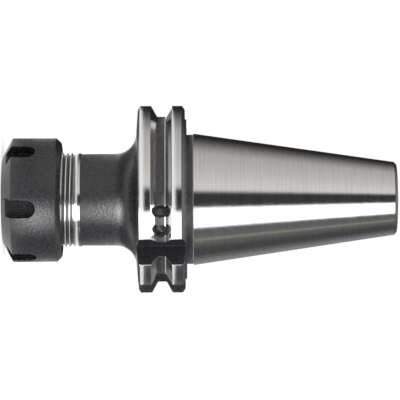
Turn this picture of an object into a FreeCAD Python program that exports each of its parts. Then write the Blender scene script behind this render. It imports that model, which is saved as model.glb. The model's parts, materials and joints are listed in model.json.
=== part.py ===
import FreeCAD, Part
import math
import os

# Collet chuck holder: a steep-taper V-flange shank with a spring collet and its
# clamping nut. Millimetres. The turning axis is Z. The nut's front face lies at
# z = 0 and the shank points up. The two drive slots lie on +X and -X.

# Steep taper shank, 40 size
projection = 65.0            # nut's front face to the gauge plane
gauge_dia = 44.45
taper_length = 68.4          # gauge plane to the small end
taper_ratio = 7.0 / 24.0     # on the diameter
shank_edge = 0.8             # chamfer at the small end

# Flange with its gripper groove
flange_dia = 63.55
flange_width = 15.9
flange_back_gap = 3.2        # flange's rear face to the gauge plane
flange_dish = 0.6            # rise of the slightly conical front face
flange_front_chamfer = (1.1, 0.7)    # radial, axial
flange_back_chamfer = (1.4, 0.9)
land_dia = 54.4              # raised land on the rear face
land_height = 0.5
relief_dia = 43.8            # grinding relief between flange and taper
relief_end_gap = 0.4         # end of the relief to the gauge plane
groove_offset = 11.1         # middle of the V groove to the gauge plane
groove_root_dia = 56.25
groove_root_width = 2.86
groove_half_angle = 30.0

# Drive slots and the orientation notch beside the +X slot
slot_width = 16.1
slot_floor_plus = 22.8       # axis to the floor of the +X slot
slot_floor_minus = 25.0      # axis to the floor of the -X slot
slot_corner = 1.0
notch_plane = 18.5           # axis to the notch's long face
notch_corner = 14.4          # where its short face starts, across the slot
notch_flank_angle = 30.3

# Balancing holes drilled in the root of the groove
balance_hole_dia = 4.2
balance_hole_depth = 5.0
balance_hole_angles = (-71.2, -57.2)
drill_point_angle = 118.0

# Neck, collar and nut thread
neck_dia = 31.1
neck_fillet = 7.1
collar_dia = 31.7
collar_width = 2.1
thread_dia = 32.0
thread_pitch = 1.5
thread_behind_nut = 4.5      # thread left free behind the tightened nut

# Clamping nut
nut_dia = 42.0
nut_length = 20.0
nut_front_chamfer = (6.4, 3.4)       # radial, axial
nut_back_chamfer = (1.7, 1.7)
wrench_slots = 6
wrench_slot_width = 6.0
wrench_slot_length = 11.7
wrench_slot_floor = 17.5     # axis to the floor
wrench_slot_angle = -70.8    # direction of the first slot
lip_thickness = 1.25         # eccentric lip that pulls the collet out
lip_bore_dia = 25.2
lip_offset = 1.1
lip_play = 0.45              # axial gap from the lip to the collet's nose

# Spring collet
collet_recess = 0.6          # collet's front face below the nut's front face
collet_length = 34.0
collet_shoulder_dia = 26.0
collet_half_angle = 8.0
collet_nose_dia = 20.0
collet_nose_half_angle = 30.0
collet_land_dia = 25.0
collet_land_width = 0.37
collet_groove_dia = 22.0
collet_groove_width = 2.1
collet_bore_dia = 12.0
collet_slits = 8             # from each end, set half a step apart
slit_width = 0.9
slit_front_web = 6.5         # metal left beyond the slits cut from the back
slit_back_web = 5.0          # metal left beyond the slits cut from the front

# Bore of the holder
seat_gap = 0.6               # collet's shoulder to the holder's front face
seat_length = 30.0
stop_thread_dia = 16.0
stop_thread_pitch = 1.5
stop_thread_length = 31.5
duct_dia = 14.0
pilot_dia = 17.0
pilot_depth = 7.0
pilot_chamfer = 0.5
stud_thread_dia = 16.0
stud_thread_pitch = 2.0
stud_thread_length = 32.0

# Stop screw
stop_length = 12.0
stop_set_back = 5.4          # collet's rear end to the screw
stop_edge = 0.7
stop_hole_dia = 5.0
stop_hex = 8.0               # across flats
stop_hex_depth = 5.0

# Running clearances, on the radius
cone_clearance = 0.06
thread_clearance = 0.06
stop_clearance = 0.07

over = 1.0                   # how far a cutter runs past the metal

# Planes along the axis
gauge_z = projection
shank_end_z = gauge_z + taper_length
flange_back_z = gauge_z - flange_back_gap
flange_front_z = flange_back_z - flange_width
groove_z = gauge_z - groove_offset
land_z = flange_back_z + land_height
relief_end_z = gauge_z - relief_end_gap
collar_front_z = nut_length + thread_behind_nut
collar_back_z = collar_front_z + collar_width
collet_front_z = collet_recess
collet_back_z = collet_front_z + collet_length
stop_front_z = collet_back_z + stop_set_back


def slope(degrees):
    return math.tan(math.radians(degrees))


def pitch_radius(diameter, pitch):
    """Mean radius of a 60 degree thread, where its plain stand-in surface lies."""
    return diameter / 2 - 0.3248 * pitch


collet_nose_r = collet_nose_dia / 2
collet_land_r = collet_land_dia / 2
collet_shoulder_r = collet_shoulder_dia / 2
collet_nose_end_z = collet_front_z + (collet_land_r - collet_nose_r) / slope(collet_nose_half_angle)
collet_groove_z = collet_nose_end_z + collet_land_width
collet_shoulder_z = collet_groove_z + collet_groove_width
holder_front_z = collet_shoulder_z + seat_gap
thread_r = pitch_radius(thread_dia, thread_pitch)
stop_thread_r = pitch_radius(stop_thread_dia, stop_thread_pitch)
stud_thread_r = pitch_radius(stud_thread_dia, stud_thread_pitch)


def collet_cone_r(z):
    return collet_shoulder_r - (z - collet_shoulder_z) * slope(collet_half_angle)


def taper_r(z):
    return gauge_dia / 2 - (z - gauge_z) * taper_ratio / 2


def turned(outline):
    """Solid of revolution about Z. A point is (r, z); ((r, z), (r, z)) is an arc by its middle and end."""
    corners = [p if isinstance(p[0], tuple) else (p,) for p in outline]
    corners.append(corners[0][-1:])
    edges = []
    here = FreeCAD.Vector(corners[0][-1][0], 0, corners[0][-1][1])
    for corner in corners[1:]:
        marks = [FreeCAD.Vector(r, 0, z) for r, z in corner]
        if len(marks) == 2:
            arc = Part.Arc(here, marks[0], marks[1])
            edges.append(arc.toBSpline().toShape())    # same arc, a third fewer facets
        else:
            edges.append(Part.LineSegment(here, marks[0]).toShape())
        here = marks[-1]
    face = Part.Face(Part.Wire(edges))
    return face.revolve(FreeCAD.Vector(0, 0, 0), FreeCAD.Vector(0, 0, 1), 360)


def prism(corners, low_z, high_z):
    points = [FreeCAD.Vector(x, y, low_z) for x, y in corners]
    face = Part.Face(Part.makePolygon(points + points[:1]))
    return face.extrude(FreeCAD.Vector(0, 0, high_z - low_z))


def about_axis(shape, degrees):
    turned_copy = shape.copy()
    turned_copy.rotate(FreeCAD.Vector(0, 0, 0), FreeCAD.Vector(0, 0, 1), degrees)
    return turned_copy


def holder_outline():
    """Outer and inner line of the holder, from the front of its collet seat round the outside and back."""
    neck_r = neck_dia / 2
    flange_r = flange_dia / 2
    root_r = groove_root_dia / 2
    fillet_z = flange_front_z - flange_dish
    fillet_mid = (
        neck_r + neck_fillet * (1 - math.sqrt(0.5)),
        fillet_z - neck_fillet * (1 - math.sqrt(0.5)),
    )
    root_half = groove_root_width / 2
    mouth_half = root_half + (flange_r - root_r) * slope(groove_half_angle)
    seat_mouth_r = collet_cone_r(holder_front_z) + cone_clearance
    seat_end_z = holder_front_z + seat_length
    seat_end_r = collet_cone_r(seat_end_z) + cone_clearance
    stop_thread_end_z = seat_end_z + stop_thread_length
    duct_r = duct_dia / 2
    stud_mouth_z = shank_end_z - pilot_depth
    stud_end_z = stud_mouth_z - stud_thread_length
    pilot_r = pilot_dia / 2
    return [
        (seat_mouth_r, holder_front_z),
        (thread_r, holder_front_z),
        (thread_r, collar_front_z),
        (collar_dia / 2, collar_front_z),
        (collar_dia / 2, collar_back_z),
        (neck_r, collar_back_z),
        (neck_r, fillet_z - neck_fillet),
        (fillet_mid, (neck_r + neck_fillet, fillet_z)),
        (flange_r - flange_front_chamfer[0], flange_front_z),
        (flange_r, flange_front_z + flange_front_chamfer[1]),
        (flange_r, groove_z - mouth_half),
        (root_r, groove_z - root_half),
        (root_r, groove_z + root_half),
        (flange_r, groove_z + mouth_half),
        (flange_r, flange_back_z - flange_back_chamfer[1]),
        (flange_r - flange_back_chamfer[0], flange_back_z),
        (land_dia / 2, flange_back_z),
        (land_dia / 2, land_z),
        (relief_dia / 2, land_z),
        (relief_dia / 2, relief_end_z),
        (taper_r(relief_end_z), relief_end_z),
        (taper_r(shank_end_z - shank_edge), shank_end_z - shank_edge),
        (taper_r(shank_end_z) - shank_edge, shank_end_z),
        (pilot_r + pilot_chamfer, shank_end_z),
        (pilot_r, shank_end_z - pilot_chamfer),
        (pilot_r, stud_mouth_z),
        (stud_thread_r, stud_mouth_z),
        (stud_thread_r, stud_end_z),
        (duct_r, stud_end_z),
        (duct_r, stop_thread_end_z),
        (stop_thread_r, stop_thread_end_z),
        (stop_thread_r, seat_end_z),
        (seat_end_r, seat_end_z),
    ]


def drive_slot(floor, degrees):
    """Cutter for one drive slot, open outwards and to both faces of the flange."""
    low_z = flange_front_z - flange_dish - over
    cutter = Part.makeBox(
        flange_dia / 2 + over - floor,
        slot_width,
        relief_end_z - low_z,
        FreeCAD.Vector(floor, -slot_width / 2, low_z),
    )
    floor_edges = []
    for edge in cutter.Edges:
        ends = [vertex.Point for vertex in edge.Vertexes]
        if all(abs(p.x - floor) < 1e-6 for p in ends) and abs(ends[0].z - ends[1].z) > over:
            floor_edges.append(edge)
    return about_axis(cutter.makeFillet(slot_corner, floor_edges), degrees)


def orientation_notch():
    """Cutter for the notch beside the +X slot, on its -Y side."""
    reach = flange_dia / 2 + over
    low_z = flange_front_z - flange_dish - over
    far_y = notch_corner + (reach - notch_plane) * slope(notch_flank_angle)
    corners = [
        (notch_plane, -notch_corner),
        (reach, -far_y),
        (reach, -reach),
        (notch_plane, -reach),
    ]
    return prism(corners, low_z, relief_end_z)


def balance_hole(degrees):
    """Cutter for one blind drilled hole, radial, in the root of the V groove."""
    radius = balance_hole_dia / 2
    point = radius / slope(drill_point_angle / 2)
    root_r = groove_root_dia / 2
    drill = turned([
        (0, root_r - balance_hole_depth - point),
        (radius, root_r - balance_hole_depth),
        (radius, flange_dia / 2 + over),
        (0, flange_dia / 2 + over),
    ])
    drill.rotate(FreeCAD.Vector(0, 0, 0), FreeCAD.Vector(0, 1, 0), 90)
    drill.translate(FreeCAD.Vector(0, 0, groove_z))
    return about_axis(drill, degrees)


def holder_body():
    """Shank, flange, neck and nut thread, turned from one bar, with its milled and drilled cuts."""
    cutters = [
        drive_slot(slot_floor_plus, 0),
        drive_slot(slot_floor_minus, 180),
        orientation_notch(),
    ]
    cutters += [balance_hole(angle) for angle in balance_hole_angles]
    return turned(holder_outline()).cut(cutters)


def wrench_slot(degrees):
    """Cutter for one wrench slot: open to the front, round at its closed end, flat floor."""
    half = wrench_slot_width / 2
    depth = nut_dia / 2 + over - wrench_slot_floor
    straight = wrench_slot_length - half
    run = Part.makeBox(
        depth,
        wrench_slot_width,
        straight + over,
        FreeCAD.Vector(wrench_slot_floor, -half, -over),
    )
    end = Part.makeCylinder(
        half,
        depth,
        FreeCAD.Vector(wrench_slot_floor, 0, straight),
        FreeCAD.Vector(1, 0, 0),
    )
    return about_axis(run.fuse(end).removeSplitter(), degrees)


def clamping_nut():
    """Slotted nut with the 30 degree seat for the collet's nose and the eccentric lip behind it."""
    nut_r = nut_dia / 2
    seat = slope(collet_nose_half_angle)
    mouth_r = collet_nose_r - collet_front_z * seat + cone_clearance
    seat_end_r = collet_land_r + cone_clearance
    lip_z = collet_groove_z + lip_play
    lip_end_z = lip_z + lip_thickness
    bore_r = thread_r + thread_clearance
    lip_inner_r = lip_bore_dia / 2 - lip_offset - over
    blank = turned([
        (mouth_r, 0),
        (nut_r - nut_front_chamfer[0], 0),
        (nut_r, nut_front_chamfer[1]),
        (nut_r, nut_length - nut_back_chamfer[1]),
        (nut_r - nut_back_chamfer[0], nut_length),
        (bore_r, nut_length),
        (bore_r, lip_end_z),
        (lip_inner_r, lip_end_z),
        (lip_inner_r, lip_z),
        (seat_end_r, lip_z),
        (seat_end_r, collet_nose_end_z),
    ])
    lip_bore = Part.makeCylinder(
        lip_bore_dia / 2,
        lip_thickness,
        FreeCAD.Vector(lip_offset, 0, lip_z),
    )
    step = 360.0 / wrench_slots
    cutters = [wrench_slot(wrench_slot_angle + i * step) for i in range(wrench_slots)]
    return blank.cut([lip_bore] + cutters)


def collet_slit(low_z, high_z, degrees):
    """Cutter for one slit through one side of the collet's wall."""
    blade = Part.makeBox(
        collet_shoulder_r + over,
        slit_width,
        high_z - low_z,
        FreeCAD.Vector(0, -slit_width / 2, low_z),
    )
    return about_axis(blade, degrees)


def spring_collet():
    """Double-slit collet: nose cone, pull-out groove and long clamping cone round a plain bore."""
    bore_r = collet_bore_dia / 2
    blank = turned([
        (bore_r, collet_front_z),
        (collet_nose_r, collet_front_z),
        (collet_land_r, collet_nose_end_z),
        (collet_land_r, collet_groove_z),
        (collet_groove_dia / 2, collet_groove_z),
        (collet_groove_dia / 2, collet_shoulder_z),
        (collet_shoulder_r, collet_shoulder_z),
        (collet_cone_r(collet_back_z), collet_back_z),
        (bore_r, collet_back_z),
    ])
    step = 360.0 / collet_slits
    slits = []
    for i in range(collet_slits):
        front_end_z = collet_back_z - slit_back_web
        back_start_z = collet_front_z + slit_front_web
        slits.append(collet_slit(collet_front_z - over, front_end_z, i * step))
        slits.append(collet_slit(back_start_z, collet_back_z + over, (i + 0.5) * step))
    return blank.cut(slits)


def stop_screw():
    """Hollow grub screw behind the collet that sets how deep a tool sits."""
    screw_r = stop_thread_r - stop_clearance
    back_z = stop_front_z + stop_length
    blank = turned([
        (stop_hole_dia / 2, stop_front_z),
        (screw_r - stop_edge, stop_front_z),
        (screw_r, stop_front_z + stop_edge),
        (screw_r, back_z),
        (stop_hole_dia / 2, back_z),
    ])
    corner_r = stop_hex / 2 / math.cos(math.radians(30))
    corners = []
    for i in range(6):
        turn = math.radians(60 * i)
        corners.append((corner_r * math.cos(turn), corner_r * math.sin(turn)))
    socket = prism(corners, stop_front_z - over, stop_front_z + stop_hex_depth)
    return blank.cut(socket)


os.makedirs("parts", exist_ok=True)
pieces = {
    "holder_body": holder_body(),
    "clamping_nut": clamping_nut(),
    "spring_collet": spring_collet(),
    "stop_screw": stop_screw(),
}
for name, shape in pieces.items():
    solid = shape.Solids[0]
    print(name, len(shape.Solids), "solid,", round(solid.Volume), "mm3, valid", solid.isValid())
    solid.exportStep("parts/" + name + ".step")
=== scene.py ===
import json
import math

import bmesh
import bpy
from mathutils import Matrix, Vector

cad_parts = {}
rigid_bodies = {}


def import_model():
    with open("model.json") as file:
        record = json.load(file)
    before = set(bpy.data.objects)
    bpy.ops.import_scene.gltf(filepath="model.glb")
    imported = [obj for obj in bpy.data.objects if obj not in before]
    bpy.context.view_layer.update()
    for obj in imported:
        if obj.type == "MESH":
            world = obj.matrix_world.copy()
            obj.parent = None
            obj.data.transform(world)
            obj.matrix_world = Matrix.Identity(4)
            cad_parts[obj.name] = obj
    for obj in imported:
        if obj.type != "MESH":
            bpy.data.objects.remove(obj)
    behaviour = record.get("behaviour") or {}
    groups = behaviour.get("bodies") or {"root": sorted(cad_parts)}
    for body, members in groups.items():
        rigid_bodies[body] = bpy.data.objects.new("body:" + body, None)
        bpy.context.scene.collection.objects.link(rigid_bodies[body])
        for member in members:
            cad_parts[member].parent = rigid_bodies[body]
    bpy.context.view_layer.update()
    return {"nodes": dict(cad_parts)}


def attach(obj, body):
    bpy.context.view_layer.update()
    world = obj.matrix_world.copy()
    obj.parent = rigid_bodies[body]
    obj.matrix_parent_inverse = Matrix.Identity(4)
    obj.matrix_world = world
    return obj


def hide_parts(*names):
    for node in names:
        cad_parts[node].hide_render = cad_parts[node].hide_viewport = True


# Collet chuck holder. The turning axis is Z and the nut's front face lies at z = 0.
# The part's dictionaries are in millimetres and degrees.

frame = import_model()
scene = bpy.context.scene
mm = 0.001
nearAxis = 0.02  # a lathe outline stays this far off its axis


# meshes


def newPiece(name, mesh):
    piece = bpy.data.objects.new(name, mesh)
    scene.collection.objects.link(piece)
    return piece


def meshFrom(name, build):
    mesh = bpy.data.meshes.new(name)
    build.to_mesh(mesh)
    build.free()
    return mesh


def latheMesh(name, outline, steps, edgeBreak=0.0):
    # outline is a closed loop of (radius, z, finish of the surface up to the next point),
    # and its corners of 20 degrees or more are rounded by edgeBreak
    points = []
    count = len(outline)
    for i, (r, z, finish) in enumerate(outline):
        before = Vector(outline[i - 1][:2])
        here = Vector((r, z))
        after = Vector(outline[(i + 1) % count][:2])
        back, ahead = before - here, after - here
        turn = math.pi - back.angle(ahead)
        if edgeBreak <= 0 or turn < math.radians(20):
            points.append((r, z, finish))
            continue
        cut = min(edgeBreak, back.length * 0.3, ahead.length * 0.3)
        start = here + back.normalized() * cut
        end = here + ahead.normalized() * cut
        rounds = max(2, round(math.degrees(turn) / 22))
        for k in range(rounds + 1):
            t = k / rounds
            p = start.lerp(here, t).lerp(here.lerp(end, t), t)
            points.append((p.x, p.y, finish))
    build = bmesh.new()
    rings = []
    for r, z, finish in points:
        ring = []
        for k in range(steps):
            a = 2 * math.pi * k / steps
            ring.append(build.verts.new((r * mm * math.cos(a), r * mm * math.sin(a), z * mm)))
        rings.append(ring)
    for i, ring in enumerate(rings):
        nextRing = rings[(i + 1) % len(rings)]
        for k in range(steps):
            n = (k + 1) % steps
            face = build.faces.new((ring[k], ring[n], nextRing[n], nextRing[k]))
            face.material_index = points[i][2]
    bmesh.ops.recalc_face_normals(build, faces=build.faces)
    return meshFrom(name, build)


def cutterMesh(name, corners, low, high, lie=Matrix.Identity(4), finish=0):
    # prism over a flat outline, from low to high, then turned by lie
    build = bmesh.new()
    floor = [build.verts.new((x * mm, y * mm, low * mm)) for x, y in corners]
    roof = [build.verts.new((x * mm, y * mm, high * mm)) for x, y in corners]
    build.faces.new(floor)
    build.faces.new(roof)
    count = len(corners)
    for i in range(count):
        n = (i + 1) % count
        build.faces.new((floor[i], floor[n], roof[n], roof[i]))
    for face in build.faces:
        face.material_index = finish
    bmesh.ops.transform(build, matrix=lie, verts=build.verts)
    bmesh.ops.recalc_face_normals(build, faces=build.faces)
    return meshFrom(name, build)


def settled(piece):
    # the modifiers' result as a plain mesh
    graph = bpy.context.evaluated_depsgraph_get()
    graph.update()
    mesh = bpy.data.meshes.new_from_object(piece.evaluated_get(graph), depsgraph=graph)
    piece.modifiers.clear()
    piece.data = mesh
    return piece


def cutAway(piece, cutters):
    tools = []
    for mesh in cutters:
        tool = newPiece(mesh.name, mesh)
        for material in piece.data.materials:
            tool.data.materials.append(material)
        cut = piece.modifiers.new("cut", "BOOLEAN")
        cut.operation = "DIFFERENCE"
        cut.solver = "EXACT"
        cut.object = tool
        tools.append(tool)
    settled(piece)
    for tool in tools:
        bpy.data.objects.remove(tool)
    return piece


def softEdges(piece, width):
    # small rounds on the milled and drilled edges, which turn by more than 40 degrees
    bevel = piece.modifiers.new("edges", "BEVEL")
    bevel.width = width * mm
    bevel.segments = 2
    bevel.limit_method = "ANGLE"
    bevel.angle_limit = math.radians(40)
    bevel.use_clamp_overlap = False
    settled(piece)
    piece.data.shade_smooth()
    piece.data.set_sharp_from_angle(angle=math.radians(16))
    return piece


# node helper


def place(tree, kind, inputs=None, **settings):
    node = tree.nodes.new(kind)
    for key, value in settings.items():
        setattr(node, key, value)
    for key, value in (inputs or {}).items():
        socket = node.inputs[key]
        if isinstance(value, bpy.types.NodeSocket):
            tree.links.new(value, socket)
        else:
            socket.default_value = value
    return node


def maths(tree, operation, first, second):
    return place(tree, "ShaderNodeMath", {0: first, 1: second}, operation=operation).outputs[0]


def newGroup(name, inputs, outputs):
    group = bpy.data.node_groups.new(name, "ShaderNodeTree")
    for socketName, value in inputs:
        socket = group.interface.new_socket(socketName, in_out="INPUT", socket_type="NodeSocketFloat")
        socket.default_value = value
    for socketName in outputs:
        group.interface.new_socket(socketName, in_out="OUTPUT", socket_type="NodeSocketFloat")
    return group, place(group, "NodeGroupInput").outputs, place(group, "NodeGroupOutput")


def useGroup(tree, group, **values):
    node = tree.nodes.new("ShaderNodeGroup")
    node.node_tree = group
    for key, value in values.items():
        node.inputs[key].default_value = value
    return node.outputs


# surface effects


def makeTurnedLines():
    # fine rings round the axis, as a tool or a grinding wheel leaves them
    group, given, out = newGroup(
        "turnedLines", [("linesPerMm", 3.0), ("drift", 1.2)], ["Tone", "Height"]
    )
    here = place(group, "ShaderNodeTexCoord").outputs["Object"]
    xyz = place(group, "ShaderNodeSeparateXYZ", {0: here}).outputs
    flat = place(group, "ShaderNodeCombineXYZ", {0: xyz[0], 1: xyz[1]}).outputs[0]
    radius = place(group, "ShaderNodeVectorMath", {0: flat}, operation="LENGTH").outputs["Value"]
    way = place(group, "ShaderNodeVectorMath", {0: flat}, operation="NORMALIZE").outputs[0]
    wayXyz = place(group, "ShaderNodeSeparateXYZ", {0: way}).outputs
    perMetre = maths(group, "MULTIPLY", given["linesPerMm"], 1000.0)
    across = maths(group, "MULTIPLY", radius, perMetre)
    along = maths(group, "MULTIPLY", xyz[2], perMetre)
    driftX = maths(group, "MULTIPLY", wayXyz[0], given["drift"])
    driftY = maths(group, "MULTIPLY", wayXyz[1], given["drift"])
    spot = place(group, "ShaderNodeCombineXYZ", {0: across, 1: along, 2: driftX}).outputs[0]
    noise = place(
        group,
        "ShaderNodeTexNoise",
        {"Vector": spot, "W": driftY, "Scale": 1.0, "Detail": 3.0, "Roughness": 0.6},
        noise_dimensions="4D",
    ).outputs["Fac"]
    group.links.new(noise, out.inputs["Tone"])
    group.links.new(noise, out.inputs["Height"])
    return group


def makeGrain():
    # small pits and grains of an oxide finish or of fine dust
    group, given, out = newGroup("oxideGrain", [("grainsPerMm", 2.5), ("cover", 0.5)], ["Mask", "Height"])
    spot = place(group, "ShaderNodeTexCoord").outputs["Object"]
    perMetre = maths(group, "MULTIPLY", given["grainsPerMm"], 1000.0)
    noise = place(
        group,
        "ShaderNodeTexNoise",
        {"Vector": spot, "Scale": perMetre, "Detail": 4.0, "Roughness": 0.65},
    ).outputs["Fac"]
    low = maths(group, "SUBTRACT", given["cover"], 0.06)
    high = maths(group, "ADD", given["cover"], 0.06)
    mask = place(
        group, "ShaderNodeMapRange", {"Value": noise, "From Min": low, "From Max": high}
    ).outputs[0]
    group.links.new(mask, out.inputs["Mask"])
    group.links.new(noise, out.inputs["Height"])
    return group


def makeEdgeWear():
    # brighter along edges, where handling rubs the finish thin
    group, given, out = newGroup("edgeWear", [("width", 0.0003), ("patches", 1500.0)], ["Mask"])
    spot = place(group, "ShaderNodeTexCoord").outputs["Object"]
    rounded = place(group, "ShaderNodeBevel", {"Radius": given["width"]}, samples=6).outputs[0]
    plain = place(group, "ShaderNodeNewGeometry").outputs["Normal"]
    same = place(
        group, "ShaderNodeVectorMath", {0: rounded, 1: plain}, operation="DOT_PRODUCT"
    ).outputs["Value"]
    edge = place(
        group, "ShaderNodeMapRange", {"Value": same, "From Min": 0.995, "From Max": 0.93}
    ).outputs[0]
    noise = place(
        group, "ShaderNodeTexNoise", {"Vector": spot, "Scale": given["patches"], "Detail": 3.0}
    ).outputs["Fac"]
    patch = place(
        group, "ShaderNodeMapRange", {"Value": noise, "From Min": 0.42, "From Max": 0.62}
    ).outputs[0]
    mask = maths(group, "MULTIPLY", edge, patch)
    group.links.new(mask, out.inputs["Mask"])
    return group


turnedLines = makeTurnedLines()
oxideGrain = makeGrain()
edgeWear = makeEdgeWear()
print("surface effects ready")


# finishes

groundFinish = {
    "light": (0.68, 0.67, 0.66, 1),
    "dark": (0.56, 0.555, 0.55, 1),
    "roughness": (0.07, 0.16),
    "linesPerMm": 4.0,
    "lineDepth": 0.0012,
    "grainsPerMm": 2.2,
    "grainDepth": 0.012,
}

oxideFinish = {
    "light": (0.040, 0.042, 0.047, 1),
    "dark": (0.022, 0.023, 0.027, 1),
    "worn": (0.34, 0.33, 0.34, 1),
    "roughness": (0.14, 0.26),
    "grainsPerMm": 1.4,
    "grainDepth": 0.15,
    "sheen": 1.6,  # refractive index of the oiled oxide
}

# the wrench slots' finish: duller sheen and coarser grain than the oxide, and light and dark colours
# darker than the oxide's, which is painted shade in the slots
milledAndShadedFinish = dict(
    oxideFinish,
    light=(0.020, 0.020, 0.023, 1),
    dark=(0.006, 0.006, 0.008, 1),
    grainsPerMm=1.3,
    grainDepth=0.45,
    sheen=1.35,
)


def mixColours(tree, factor, first, second):
    return place(tree, "ShaderNodeMix", {0: factor, 6: first, 7: second}, data_type="RGBA").outputs[2]


def newMaterial(name):
    material = bpy.data.materials.new(name)
    material.use_nodes = True
    tree = material.node_tree
    return material, tree, tree.nodes["Principled BSDF"]


def makeGround(name, look):
    material, tree, shader = newMaterial(name)
    lines = useGroup(tree, turnedLines, linesPerMm=look["linesPerMm"], drift=1.5)
    grain = useGroup(tree, oxideGrain, grainsPerMm=look["grainsPerMm"], cover=0.5)
    tone = place(tree, "ShaderNodeMapRange", {"Value": lines["Tone"], "From Min": 0.3, "From Max": 0.7})
    colour = mixColours(tree, tone.outputs[0], look["dark"], look["light"])
    rough = place(
        tree,
        "ShaderNodeMapRange",
        {
            "Value": lines["Tone"],
            "From Min": 0.3,
            "From Max": 0.7,
            "To Min": look["roughness"][0],
            "To Max": look["roughness"][1],
        },
    )
    grainBump = place(
        tree,
        "ShaderNodeBump",
        {"Strength": 1.0, "Distance": look["grainDepth"] * mm, "Height": grain["Height"]},
    )
    lineBump = place(
        tree,
        "ShaderNodeBump",
        {
            "Strength": 1.0,
            "Distance": look["lineDepth"] * mm,
            "Height": lines["Height"],
            "Normal": grainBump.outputs[0],
        },
    )
    tree.links.new(colour, shader.inputs["Base Color"])
    tree.links.new(rough.outputs[0], shader.inputs["Roughness"])
    tree.links.new(lineBump.outputs[0], shader.inputs["Normal"])
    shader.inputs["Metallic"].default_value = 1.0
    return material


def makeOxide(name, look):
    material, tree, shader = newMaterial(name)
    grain = useGroup(tree, oxideGrain, grainsPerMm=look["grainsPerMm"], cover=0.52)
    wear = useGroup(tree, edgeWear, width=0.00025, patches=1800.0)
    colour = mixColours(tree, grain["Mask"], look["dark"], look["light"])
    worn = mixColours(tree, wear["Mask"], colour, look["worn"])
    rough = place(
        tree,
        "ShaderNodeMapRange",
        {"Value": grain["Height"], "To Min": look["roughness"][0], "To Max": look["roughness"][1]},
    )
    bump = place(
        tree,
        "ShaderNodeBump",
        {"Strength": 1.0, "Distance": look["grainDepth"] * mm, "Height": grain["Height"]},
    )
    tree.links.new(worn, shader.inputs["Base Color"])
    tree.links.new(wear["Mask"], shader.inputs["Metallic"])
    tree.links.new(rough.outputs[0], shader.inputs["Roughness"])
    tree.links.new(bump.outputs[0], shader.inputs["Normal"])
    shader.inputs["IOR"].default_value = look["sheen"]
    return material


groundSteel = makeGround("groundSteel", groundFinish)
blackOxide = makeOxide("blackOxide", oxideFinish)
milledAndShadedBlack = makeOxide("milledAndShadedBlack", milledAndShadedFinish)
drilledSteel = makeGround("drilledSteel", dict(groundFinish, grainDepth=0.03, roughness=(0.2, 0.35)))
colletSteel = makeGround("colletSteel", dict(groundFinish, linesPerMm=6.0, roughness=(0.2, 0.32)))
screwBlack = makeOxide("screwBlack", dict(oxideFinish, grainsPerMm=4.0))
threadSteel = makeGround("threadSteel", dict(groundFinish, linesPerMm=9.0, roughness=(0.14, 0.24)))
print("finishes ready")


# holder body

ground, black, thread, drilled = 0, 1, 2, 3  # finish slots on the holder

holder = {
    "steps": 256,
    "edgeBreak": 0.22,
    "softEdge": 0.14,
    "flangeR": 31.75,
    "rootR": 28.12,
    "grooveZ": 53.9,
    "rootHalf": 1.43,
    "mouthHalf": 3.52,
    "frontZ": 45.9,
    "dishZ": 45.3,
    "backZ": 61.8,
    "landR": 27.2,
    "landZ": 62.3,
    "reliefR": 21.9,
    "taperStartZ": 64.6,
    "gaugeZ": 65.0,
    "gaugeR": 22.225,
    "taperSlope": 7 / 48,
    "endZ": 133.4,
    "neckR": 15.55,
    "collarR": 15.85,
    "collarZ": (24.5, 26.6),
    "fillet": 7.1,
    "threadRootR": 15.1,
    "threadChamfer": 0.6,
    "frontChamfer": (1.1, 0.7),
    "backChamfer": (1.4, 0.9),
    "endChamfer": 0.8,
    "slope": 0.1,  # length of the small slopes at the collar and the land
    # bore, from the collet's seat to the pull stud's pilot
    "mouthZ": 8.0,
    "seatR": (13.0, 8.76),
    "seatEndZ": 38.0,
    "stopThreadR": 7.5,
    "stopThreadEndZ": 69.5,
    "ductR": 7.0,
    "studThreadR": 8.1,
    "studDepth": (7.0, 39.0),
    "pilotR": 8.5,
    "pilotChamfer": 0.5,
}


def taperR(z):
    return holder["gaugeR"] - (z - holder["gaugeZ"]) * holder["taperSlope"]


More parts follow.
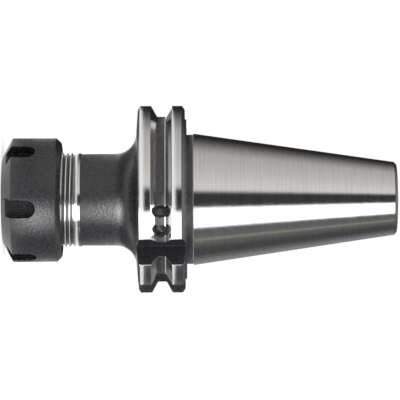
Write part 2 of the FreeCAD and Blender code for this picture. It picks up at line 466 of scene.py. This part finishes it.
def holderOutline():
    h = holder
    outline = [
        (h["seatR"][0], h["mouthZ"], black),
        (h["threadRootR"] - h["threadChamfer"], h["mouthZ"], thread),
        (h["threadRootR"], h["mouthZ"] + h["threadChamfer"], black),
        (h["threadRootR"], h["collarZ"][0] - h["slope"], thread),
        (h["collarR"], h["collarZ"][0], ground),
        (h["collarR"], h["collarZ"][1], black),
        (h["neckR"], h["collarZ"][1] + h["slope"], black),
    ]
    for k in range(13):
        a = math.radians(90 * k / 12)
        r = h["neckR"] + h["fillet"] * (1 - math.cos(a))
        z = h["dishZ"] - h["fillet"] * (1 - math.sin(a))
        outline.append((r, z, black))
    outline += [
        (h["flangeR"] - h["frontChamfer"][0], h["frontZ"], black),
        (h["flangeR"], h["frontZ"] + h["frontChamfer"][1], ground),
        (h["flangeR"], h["grooveZ"] - h["mouthHalf"], ground),
        (h["rootR"], h["grooveZ"] - h["rootHalf"], black),
        (h["rootR"], h["grooveZ"] + h["rootHalf"], ground),
        (h["flangeR"], h["grooveZ"] + h["mouthHalf"], ground),
        (h["flangeR"], h["backZ"] - h["backChamfer"][1], black),
        (h["flangeR"] - h["backChamfer"][0], h["backZ"], black),
        (h["landR"] + h["slope"], h["backZ"], black),
        (h["landR"], h["landZ"], black),
        (h["reliefR"], h["landZ"], black),
        (h["reliefR"], h["taperStartZ"], ground),
        (taperR(h["taperStartZ"]), h["taperStartZ"], ground),
        (taperR(h["endZ"] - h["endChamfer"]), h["endZ"] - h["endChamfer"], black),
        (taperR(h["endZ"]) - h["endChamfer"], h["endZ"], black),
        (h["pilotR"] + h["pilotChamfer"], h["endZ"], black),
        (h["pilotR"], h["endZ"] - h["pilotChamfer"], black),
        (h["pilotR"], h["endZ"] - h["studDepth"][0], black),
        (h["studThreadR"], h["endZ"] - h["studDepth"][0], thread),
        (h["studThreadR"], h["endZ"] - h["studDepth"][1], black),
        (h["ductR"], h["endZ"] - h["studDepth"][1], black),
        (h["ductR"], h["stopThreadEndZ"], black),
        (h["stopThreadR"], h["stopThreadEndZ"], thread),
        (h["stopThreadR"], h["seatEndZ"], ground),
        (h["seatR"][1], h["seatEndZ"], ground),
    ]
    return outline


driveSlots = {"width": 16.1, "corner": 1.0, "floors": (22.8, 25.0), "from": 44.0, "to": 64.6, "reach": 34}


def driveSlot(floor, degrees):
    half, c = driveSlots["width"] / 2, driveSlots["corner"]
    corners = [(driveSlots["reach"], -half), (driveSlots["reach"], half)]
    for k in range(7):
        a = math.radians(90 + 15 * k)
        corners.append((floor + c + c * math.cos(a), half - c + c * math.sin(a)))
    for k in range(7):
        a = math.radians(180 + 15 * k)
        corners.append((floor + c + c * math.cos(a), -half + c + c * math.sin(a)))
    return cutterMesh(
        "driveSlot",
        corners,
        driveSlots["from"],
        driveSlots["to"],
        Matrix.Rotation(math.radians(degrees), 4, "Z"),
        black,
    )


notch = {"face": 18.5, "corner": 14.4, "flank": 30.3, "reach": 34, "side": 36}


def orientationNotch():
    reach = notch["reach"]
    far = notch["corner"] + (reach - notch["face"]) * math.tan(math.radians(notch["flank"]))
    corners = [
        (notch["face"], -notch["corner"]),
        (reach, -far),
        (reach, -notch["side"]),
        (notch["face"], -notch["side"]),
    ]
    return cutterMesh("notch", corners, driveSlots["from"], driveSlots["to"], finish=black)


balanceHoles = {
    "steps": 48,
    "radius": 2.1,
    "depth": 5.0,
    "point": 1.26,
    "reach": 33,
    "angles": (-71.2, -57.2),
}


def balanceHole(degrees):
    r, reach = balanceHoles["radius"], balanceHoles["reach"]
    bottom = holder["rootR"] - balanceHoles["depth"]
    outline = [
        (nearAxis, bottom - balanceHoles["point"], black),
        (r, bottom, drilled),
        (r, reach, black),
        (nearAxis, reach, black),
    ]
    mesh = latheMesh("balanceHole", outline, balanceHoles["steps"])
    lie = Matrix.Rotation(math.radians(degrees), 4, "Z") @ Matrix.Rotation(math.radians(90), 4, "Y")
    mesh.transform(Matrix.Translation((0, 0, holder["grooveZ"] * mm)) @ lie)
    return mesh


holderBody = newPiece(
    "holderBody", latheMesh("holderBody", holderOutline(), holder["steps"], holder["edgeBreak"])
)
for material in (groundSteel, blackOxide, threadSteel, drilledSteel):
    holderBody.data.materials.append(material)
cutters = [
    driveSlot(driveSlots["floors"][0], 0),
    driveSlot(driveSlots["floors"][1], 180),
    orientationNotch(),
]
cutters += [balanceHole(angle) for angle in balanceHoles["angles"]]
cutAway(holderBody, cutters)
softEdges(holderBody, holder["softEdge"])
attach(holderBody, "holder")
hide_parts("holder_body")
print("holder body:", len(holderBody.data.polygons), "faces")


# clamping nut

# the wrench slots' finish is darker than the nut's oxide as painted shade in the slots
milledAndShaded = 1  # finish slot of the wrench slots

nut = {
    "steps": 192,
    "edgeBreak": 0.25,
    "softEdge": 0.16,
    "radius": 21.0,
    "length": 20.0,
    "front": (6.4, 3.4),
    "back": (1.7, 1.7),
    "boreR": 16.03,
    "seatR": (9.71, 12.56),
    "seatEndZ": 4.93,
    "rearChamfer": 0.5,
    "lipZ": (5.75, 7.0),
    "lipBlankR": 10.5,
    "lipR": 12.6,
    "lipOffset": 1.1,
    "lipCutZ": (5.0, 7.6),
    "lipSteps": 96,
    "slots": 6,
    "slotWidth": 6.0,
    "slotLength": 11.7,
    "slotFloor": 17.5,
    "slotReach": 24,
    "firstSlot": -70.8,
}


def nutOutline():
    n = nut
    return [
        (n["seatR"][0], 0, 0),
        (n["radius"] - n["front"][0], 0, 0),
        (n["radius"], n["front"][1], 0),
        (n["radius"], n["length"] - n["back"][1], 0),
        (n["radius"] - n["back"][0], n["length"], 0),
        (n["boreR"] + n["rearChamfer"], n["length"], 0),
        (n["boreR"], n["length"] - n["rearChamfer"], 0),
        (n["boreR"], n["lipZ"][1], 0),
        (n["lipBlankR"], n["lipZ"][1], 0),
        (n["lipBlankR"], n["lipZ"][0], 0),
        (n["seatR"][1], n["lipZ"][0], 0),
        (n["seatR"][1], n["seatEndZ"], 0),
    ]


def lipCut():
    # the lip that draws the collet out is eccentric
    low, high = nut["lipCutZ"]
    outline = [(nearAxis, low, 0), (nut["lipR"], low, 0), (nut["lipR"], high, 0), (nearAxis, high, 0)]
    mesh = latheMesh("lipCut", outline, nut["lipSteps"])
    mesh.transform(Matrix.Translation((nut["lipOffset"] * mm, 0, 0)))
    return mesh


def wrenchSlot(degrees):
    half = nut["slotWidth"] / 2
    straight = nut["slotLength"] - half
    corners = [(2, -half), (-straight, -half)]
    for k in range(1, 24):
        a = math.radians(-90 - 7.5 * k)
        corners.append((-straight + half * math.cos(a), half * math.sin(a)))
    corners += [(-straight, half), (2, half)]
    # the outline's x runs down the nut once it is turned to stand on the nut's side
    lie = Matrix.Rotation(math.radians(degrees), 4, "Z") @ Matrix.Rotation(math.radians(90), 4, "Y")
    return cutterMesh("wrenchSlot", corners, nut["slotFloor"], nut["slotReach"], lie, milledAndShaded)


clampingNut = newPiece(
    "clampingNut", latheMesh("clampingNut", nutOutline(), nut["steps"], nut["edgeBreak"])
)
clampingNut.data.materials.append(blackOxide)
clampingNut.data.materials.append(milledAndShadedBlack)
cutters = [lipCut()]
cutters += [wrenchSlot(nut["firstSlot"] + 360 / nut["slots"] * i) for i in range(nut["slots"])]
cutAway(clampingNut, cutters)
softEdges(clampingNut, nut["softEdge"])
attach(clampingNut, "nut")
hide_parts("clamping_nut")
print("clamping nut:", len(clampingNut.data.polygons), "faces")


# screw threads


def makeThreadTree():
    tree = bpy.data.node_groups.new("threadRidge", "GeometryNodeTree")
    sockets = tree.interface
    sockets.new_socket("Geometry", in_out="INPUT", socket_type="NodeSocketGeometry")
    for name, kind, value in (
        ("Root Radius", "NodeSocketFloat", 0.015),
        ("Ridge Height", "NodeSocketFloat", 0.0009),
        ("Root Half Width", "NodeSocketFloat", 0.0006),
        ("Crest Half Width", "NodeSocketFloat", 0.0001),
        ("Pitch", "NodeSocketFloat", 0.0015),
        ("Length", "NodeSocketFloat", 0.016),
        ("Start Height", "NodeSocketFloat", 0.008),
        ("Start Angle", "NodeSocketFloat", 0.0),
        ("Fade", "NodeSocketFloat", 0.03),
        ("Steps per Turn", "NodeSocketInt", 96),
        ("Finish", "NodeSocketMaterial", None),
    ):
        socket = sockets.new_socket(name, in_out="INPUT", socket_type=kind)
        if value is not None:
            socket.default_value = value
    sockets.new_socket("Geometry", in_out="OUTPUT", socket_type="NodeSocketGeometry")
    given = place(tree, "NodeGroupInput").outputs
    turns = maths(tree, "DIVIDE", given["Length"], given["Pitch"])
    helix = place(
        tree,
        "GeometryNodeCurveSpiral",
        {
            "Resolution": given["Steps per Turn"],
            "Rotations": turns,
            "Start Radius": given["Root Radius"],
            "End Radius": given["Root Radius"],
            "Height": given["Length"],
        },
    ).outputs[0]
    upright = place(tree, "GeometryNodeSetCurveNormal", {"Curve": helix}, mode="Z_UP").outputs[0]
    crest = maths(tree, "MULTIPLY", given["Ridge Height"], -1.0)  # the helix's own normal points inwards
    sunk = maths(tree, "MULTIPLY", given["Ridge Height"], 0.08)
    rootLow = maths(tree, "MULTIPLY", given["Root Half Width"], -1.0)
    crestLow = maths(tree, "MULTIPLY", given["Crest Half Width"], -1.0)
    marks = [
        (sunk, rootLow),
        (sunk, given["Root Half Width"]),
        (crest, given["Crest Half Width"]),
        (crest, crestLow),
    ]
    profile = place(tree, "GeometryNodeCurvePrimitiveQuadrilateral", mode="POINTS")
    for i, (outwards, along) in enumerate(marks):
        mark = place(tree, "ShaderNodeCombineXYZ", {0: outwards, 1: along}).outputs[0]
        tree.links.new(mark, profile.inputs[f"Point {i + 1}"])
    along = place(tree, "GeometryNodeSplineParameter").outputs["Factor"]
    rise = maths(tree, "DIVIDE", along, given["Fade"])
    fall = maths(tree, "DIVIDE", maths(tree, "SUBTRACT", 1.0, along), given["Fade"])
    size = maths(tree, "MINIMUM", 1.0, maths(tree, "MINIMUM", rise, fall))
    ridge = place(
        tree,
        "GeometryNodeCurveToMesh",
        {"Curve": upright, "Profile Curve": profile.outputs[0], "Scale": size, "Fill Caps": True},
    ).outputs[0]
    turn = place(tree, "ShaderNodeCombineXYZ", {2: given["Start Angle"]}).outputs[0]
    lift = place(tree, "ShaderNodeCombineXYZ", {2: given["Start Height"]}).outputs[0]
    placed = place(
        tree,
        "GeometryNodeTransform",
        {"Geometry": ridge, "Translation": lift, "Rotation": turn},
    ).outputs[0]
    real = place(tree, "GeometryNodeRealizeInstances", {"Geometry": placed}).outputs[0]
    finished = place(
        tree, "GeometryNodeSetMaterial", {"Geometry": real, "Material": given["Finish"]}
    ).outputs[0]
    out = place(tree, "NodeGroupOutput")
    tree.links.new(finished, out.inputs[0])
    return tree


threadTree = makeThreadTree()


def threadRidge(name, sizes, finish):
    piece = newPiece(name, bpy.data.meshes.new(name))
    nodes = piece.modifiers.new("thread", "NODES")
    nodes.node_group = threadTree
    values = dict(sizes, Finish=finish)
    for item in threadTree.interface.items_tree:
        if item.in_out == "INPUT" and item.name in values:
            nodes[item.identifier] = values[item.name]
    settled(piece)
    build = bmesh.new()
    build.from_mesh(piece.data)
    bmesh.ops.remove_doubles(build, verts=build.verts, dist=1e-6)
    bmesh.ops.recalc_face_normals(build, faces=build.faces)
    build.to_mesh(piece.data)
    build.free()
    piece.data.shade_smooth()
    piece.data.set_sharp_from_angle(angle=math.radians(25))
    return piece


nutThread = {
    "Root Radius": 15.1 * mm,
    "Ridge Height": 0.88 * mm,
    "Root Half Width": 0.60 * mm,
    "Crest Half Width": 0.14 * mm,
    "Pitch": 1.5 * mm,
    "Length": 16.0 * mm,
    "Start Height": 8.6 * mm,
    "Start Angle": math.radians(160),
    "Fade": 0.03,
    "Steps per Turn": 120,
}
holderThread = threadRidge("holderThread", nutThread, threadSteel)
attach(holderThread, "holder")

studThread = {
    "Root Radius": 8.1 * mm,
    "Ridge Height": -1.1 * mm,
    "Root Half Width": 0.86 * mm,
    "Crest Half Width": 0.15 * mm,
    "Pitch": 2.0 * mm,
    "Length": 30.0 * mm,
    "Start Height": 96.0 * mm,
    "Start Angle": 0.0,
    "Fade": 0.02,
    "Steps per Turn": 72,
}
pullStudThread = threadRidge("pullStudThread", studThread, threadSteel)
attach(pullStudThread, "holder")
print("threads:", len(holderThread.data.polygons), "and", len(pullStudThread.data.polygons), "faces")


# pieces shown as they come from the frame

for node, finish, slot in (
    ("spring_collet", colletSteel, "collet_steel"),
    ("stop_screw", screwBlack, "screw_steel"),
):
    carried = frame["nodes"][node]
    carried.data.materials.clear()
    carried.data.materials.append(finish)


# camera

lens = {"turn": 10.8, "roll": 0.28, "distance": 1150, "focal": 305, "aim": 66.8, "drop": 0.24}


def makeCamera():
    turn, roll = math.radians(lens["turn"]), math.radians(lens["roll"])
    out = Vector((math.sin(turn), -math.cos(turn), 0))  # from the axis to the camera
    upper = Vector((-math.cos(turn), -math.sin(turn), 0))
    axis = Vector((0, 0, 1))
    right = axis * math.cos(roll) - upper * math.sin(roll)
    above = axis * math.sin(roll) + upper * math.cos(roll)
    data = bpy.data.cameras.new("camera")
    data.lens = lens["focal"]
    data.sensor_width = 36
    data.clip_start, data.clip_end = 0.05, 20
    camera = bpy.data.objects.new("camera", data)
    spot = out * lens["distance"] * mm + axis * lens["aim"] * mm - upper * lens["drop"] * mm
    facing = Matrix((right, above, out)).transposed().to_4x4()
    camera.matrix_world = Matrix.Translation(spot) @ facing
    scene.collection.objects.link(camera)
    scene.camera = camera
    return out


towardsCamera = makeCamera()


# floor, reflection wall, lamps

studio = {  # metres and degrees
    "worldLevel": 0.45,
    "floorSize": 3.0,
    "floorZ": -0.02 * mm,
    "floorLift": 0.72,
    "keyAzimuth": 33.0,
    "keySize": (0.56, 1.3),
    "keyLevel": 2.0,
    "keyDistance": 0.85,
    "keyHeight": 0.45,
    "topSize": 0.9,
    "topLevel": 0.9,
    "topHeight": 1.1,
    "cardSteps": 64,
    "lowLevel": 0.22,
    "lowReach": (0.045, 0.26),
    "lowHeight": 0.0003,
    "patchLevel": 13.0,
    "patchAzimuth": 30.0,
    "patchSpan": 36.0,
    "patchReach": (0.07, 0.26),
    "patchHeight": 0.0006,
    "wallSteps": 96,
    "wallRadius": 0.95,
    "wallZ": (-0.02, 1.0),
    # azimuth from the camera, positive towards +X, brightness and tint there
    "wall": [
        (-180, 0.02, "plain"),
        (-140, 0.03, "plain"),
        (-122, 0.14, "warm"),
        (-106, 0.36, "warm"),
        (-90, 0.60, "warm"),
        (-52, 0.76, "warm"),
        (-22, 0.95, "warm"),
        (-16, 0.90, "warm"),
        (-11, 0.04, "cool"),
        (10, 0.05, "cool"),
        (14, 0.10, "cool"),
        (60, 0.16, "cool"),
        (74, 0.20, "plain"),
        (76, 0.50, "yellow"),
        (79, 0.20, "yellow"),
        (86, 0.16, "plain"),
        (100, 0.09, "plain"),
        (114, 0.09, "plain"),
        (128, 0.18, "plain"),
        (146, 0.30, "plain"),
        (164, 0.30, "plain"),
        (180, 0.02, "plain"),
    ],
    "tints": {
        "plain": (1.0, 1.0, 1.0),
        "warm": (1.0, 0.975, 0.96),
        "cool": (0.94, 0.98, 1.0),
        "yellow": (1.0, 0.98, 0.80),
    },
}


def lightRay(tree, *kinds):
    path = place(tree, "ShaderNodeLightPath").outputs
    total = path[kinds[0]]
    for kind in kinds[1:]:
        total = maths(tree, "MAXIMUM", total, path[kind])
    return total


def stageTree(piece, name):
    material = bpy.data.materials.new(name)
    material.use_nodes = True
    material.node_tree.nodes.clear()
    piece.data.materials.append(material)
    return material.node_tree


def showStage(tree, shader):
    out = place(tree, "ShaderNodeOutputMaterial")
    tree.links.new(shader.outputs[0], out.inputs[0])


def onlyReflected(card):
    card.visible_camera = False
    card.visible_diffuse = False
    card.visible_shadow = False
    card.visible_transmission = False


def makeWorld():
    world = bpy.data.worlds.new("studio")
    world.use_nodes = True
    scene.world = world
    tree = world.node_tree
    tree.nodes.clear()
    seen = lightRay(tree, "Is Camera Ray", "Is Glossy Ray", "Is Transmission Ray")
    dim = place(tree, "ShaderNodeBackground", {"Color": (1, 1, 1, 1), "Strength": studio["worldLevel"]})
    white = place(tree, "ShaderNodeBackground", {"Color": (1, 1, 1, 1), "Strength": 1.0})
    mix = place(tree, "ShaderNodeMixShader", {0: seen, 1: dim.outputs[0], 2: white.outputs[0]})
    out = place(tree, "ShaderNodeOutputWorld")
    tree.links.new(mix.outputs[0], out.inputs[0])


def makeFloor():
    half = studio["floorSize"] / 2
    build = bmesh.new()
    square = ((-half, -half), (half, -half), (half, half), (-half, half))
    build.faces.new([build.verts.new((x, y, studio["floorZ"])) for x, y in square])
    floor = newPiece("floor", meshFrom("floor", build))
    tree = stageTree(floor, "paleFloor")
    seen = lightRay(tree, "Is Camera Ray", "Is Glossy Ray", "Is Transmission Ray")
    matt = place(tree, "ShaderNodeBsdfDiffuse", {"Color": (0.8, 0.8, 0.8, 1)})
    lift = maths(tree, "MULTIPLY", seen, studio["floorLift"])
    glow = place(tree, "ShaderNodeEmission", {"Strength": lift})
    showStage(tree, place(tree, "ShaderNodeAddShader", {0: matt.outputs[0], 1: glow.outputs[0]}))


def makeWall():
    # cards all round, which only reflections see: pale, then dark by the camera, then dim
    build = bmesh.new()
    low, high = studio["wallZ"]
    radius, count = studio["wallRadius"], studio["wallSteps"]
    rings = []
    for k in range(count):
        a = 2 * math.pi * k / count
        x, y = radius * math.cos(a), radius * math.sin(a)
        rings.append((build.verts.new((x, y, low)), build.verts.new((x, y, high))))
    for k in range(count):
        a, b = rings[k], rings[(k + 1) % count]
        build.faces.new((a[0], b[0], b[1], a[1]))
    wall = newPiece("cards", meshFrom("cards", build))
    wall.rotation_euler.z = math.atan2(towardsCamera.y, towardsCamera.x)
    tree = stageTree(wall, "cards")
    spot = place(tree, "ShaderNodeTexCoord").outputs["Object"]
    around = place(tree, "ShaderNodeTexGradient", {"Vector": spot}, gradient_type="RADIAL").outputs["Fac"]
    ramp = place(tree, "ShaderNodeValToRGB", {"Fac": around})
    stops = ramp.color_ramp.elements
    for mark in studio["wall"][1:-1]:
        stops.new(mark[0] / 360 + 0.5)
    for stop, (azimuth, level, tint) in zip(stops, studio["wall"]):
        stop.position = azimuth / 360 + 0.5
        stop.color = [level * share for share in studio["tints"][tint]] + [1]
    showStage(tree, place(tree, "ShaderNodeEmission", {"Color": ramp.outputs[0], "Strength": 1.0}))
    onlyReflected(wall)


def makeLowCards():
    # cards over the floor, which only reflections see: dim all round, one bright patch to the front
    mid = math.atan2(towardsCamera.y, towardsCamera.x) + math.radians(studio["patchAzimuth"])
    half = math.radians(studio["patchSpan"] / 2)
    for name, kind, start, span in (
        ("dimCard", "low", 0, 2 * math.pi),
        ("brightCard", "patch", mid - half, 2 * half),
    ):
        height, reach = studio[kind + "Height"], studio[kind + "Reach"]
        build = bmesh.new()
        last = None
        for k in range(studio["cardSteps"] + 1):
            a = start + span * k / studio["cardSteps"]
            ends = [build.verts.new((r * math.cos(a), r * math.sin(a), height)) for r in reach]
            if last:
                build.faces.new((last[0], last[1], ends[1], ends[0]))
            last = ends
        card = newPiece(name, meshFrom(name, build))
        tree = stageTree(card, name)
        showStage(tree, place(tree, "ShaderNodeEmission", {"Strength": studio[kind + "Level"]}))
        onlyReflected(card)


def areaLamp(name, size, level, spot, target):
    data = bpy.data.lights.new(name, "AREA")
    data.shape = "RECTANGLE"
    data.size, data.size_y = size
    data.energy = level * math.pi * size[0] * size[1]
    lamp = bpy.data.objects.new(name, data)
    lamp.location = spot
    lamp.rotation_mode = "QUATERNION"
    lamp.rotation_quaternion = (Vector(target) - Vector(spot)).to_track_quat("-Z", "Y")
    lamp.visible_camera = False
    scene.collection.objects.link(lamp)


def makeLamps():
    key = math.atan2(towardsCamera.y, towardsCamera.x) + math.radians(studio["keyAzimuth"])
    far, height = studio["keyDistance"], studio["keyHeight"]
    spot = (far * math.cos(key), far * math.sin(key), height)
    areaLamp("keyStrip", studio["keySize"], studio["keyLevel"], spot, (0, 0, height))
    top = (studio["topSize"], studio["topSize"])
    areaLamp("topBox", top, studio["topLevel"], (0, 0, studio["topHeight"]), (0, 0, 0))


makeWorld()
makeFloor()
makeWall()
makeLowCards()
makeLamps()
scene.view_settings.view_transform = "Standard"
print("studio ready")
